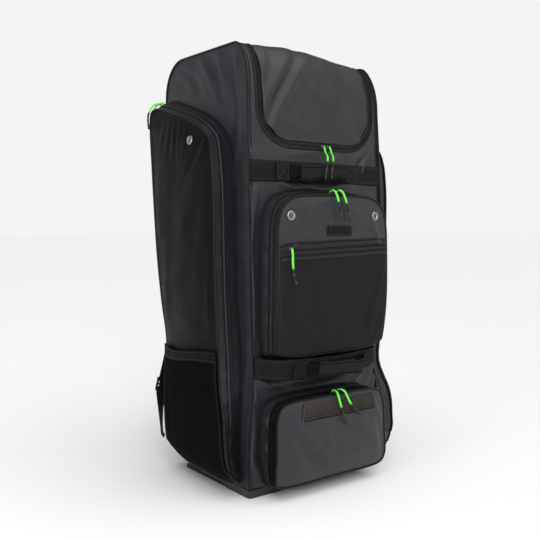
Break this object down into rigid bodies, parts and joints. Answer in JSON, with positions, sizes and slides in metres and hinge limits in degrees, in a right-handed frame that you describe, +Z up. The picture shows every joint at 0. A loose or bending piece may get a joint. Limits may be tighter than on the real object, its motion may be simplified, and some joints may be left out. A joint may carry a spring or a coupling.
{
  "type": "cricket kit bag",
  "caption": "Tall stand-up sports kit bag of dark coated cloth with a zipped top flap, side bat compartments, front pockets, webbing grab handles and backpack straps.",
  "frame": {"origin": "on the floor under the middle of the bag, on the underside of the base skid", "axes": "+Z up the bag, -Y out of its front with the handles and front pockets, +X to the right of someone who faces that front"},
  "size_m": [0.517, 0.4381, 0.956],
  "materials": {
    "coated_cloth": "dark grey coated polyester with a soft satin sheen",
    "side_cloth": "near-black coated polyester, a little duller",
    "matt_cloth": "matt woven polyester and net",
    "webbing": "near-black woven polypropylene webbing",
    "zip_tape": "black coil zip tape and covered piping",
    "black_plastic": "moulded black nylon",
    "nickel": "nickel-plated brass",
    "green_cord": "bright green braided cord"
  },
  "bodies": {
    "root": {"front_panel": "coated_cloth", "lid_flap": "coated_cloth", "base_boot": "coated_cloth", "side_pocket_gusset_left": "coated_cloth", "side_pocket_gusset_right": "coated_cloth", "front_pocket_gusset": "coated_cloth", "front_pocket_face": "coated_cloth", "bottom_pocket_gusset": "coated_cloth", "bottom_pocket_face": "coated_cloth", "back_panel": "side_cloth", "side_panel_left": "side_cloth", "side_panel_right": "side_cloth", "side_pocket_face_left": "side_cloth", "side_pocket_face_right": "side_cloth", "shoulder_strap_left": "side_cloth", "shoulder_strap_right": "side_cloth", "slip_pocket_panel": "matt_cloth", "vent_mesh": "matt_cloth", "mesh_pocket_left": "matt_cloth", "mesh_pocket_right": "matt_cloth", "upper_band": "webbing", "lower_band": "webbing", "upper_handle": "webbing", "lower_handle": "webbing", "mesh_hem_left": "webbing", "mesh_hem_right": "webbing", "strap_webbing_left": "webbing", "strap_webbing_right": "webbing", "strap_tab_left": "webbing", "strap_tab_right": "webbing", "lid_zip": "zip_tape", "slip_zip": "zip_tape", "front_pocket_zip": "zip_tape", "bottom_pocket_zip": "zip_tape", "front_pocket_piping": "zip_tape", "side_pocket_zip_left": "zip_tape", "side_pocket_zip_right": "zip_tape", "side_pocket_piping_left": "zip_tape", "side_pocket_piping_right": "zip_tape", "body_piping_left": "zip_tape", "body_piping_right": "zip_tape", "base_skid": "black_plastic", "label_patch": "black_plastic", "ladder_lock_left": "black_plastic", "ladder_lock_right": "black_plastic", "front_eyelet_left": "nickel", "front_eyelet_right": "nickel", "side_eyelet_left": "nickel", "side_eyelet_right": "nickel", "slip_pull": "green_cord", "lid_pull_left": "green_cord", "lid_pull_right": "green_cord", "front_pull_left": "green_cord", "front_pull_right": "green_cord", "bottom_pull_left": "green_cord", "bottom_pull_right": "green_cord", "side_pull_left_inner": "green_cord", "side_pull_left_outer": "green_cord", "side_pull_right_inner": "green_cord", "side_pull_right_outer": "green_cord"}
  },
  "joints": []
}
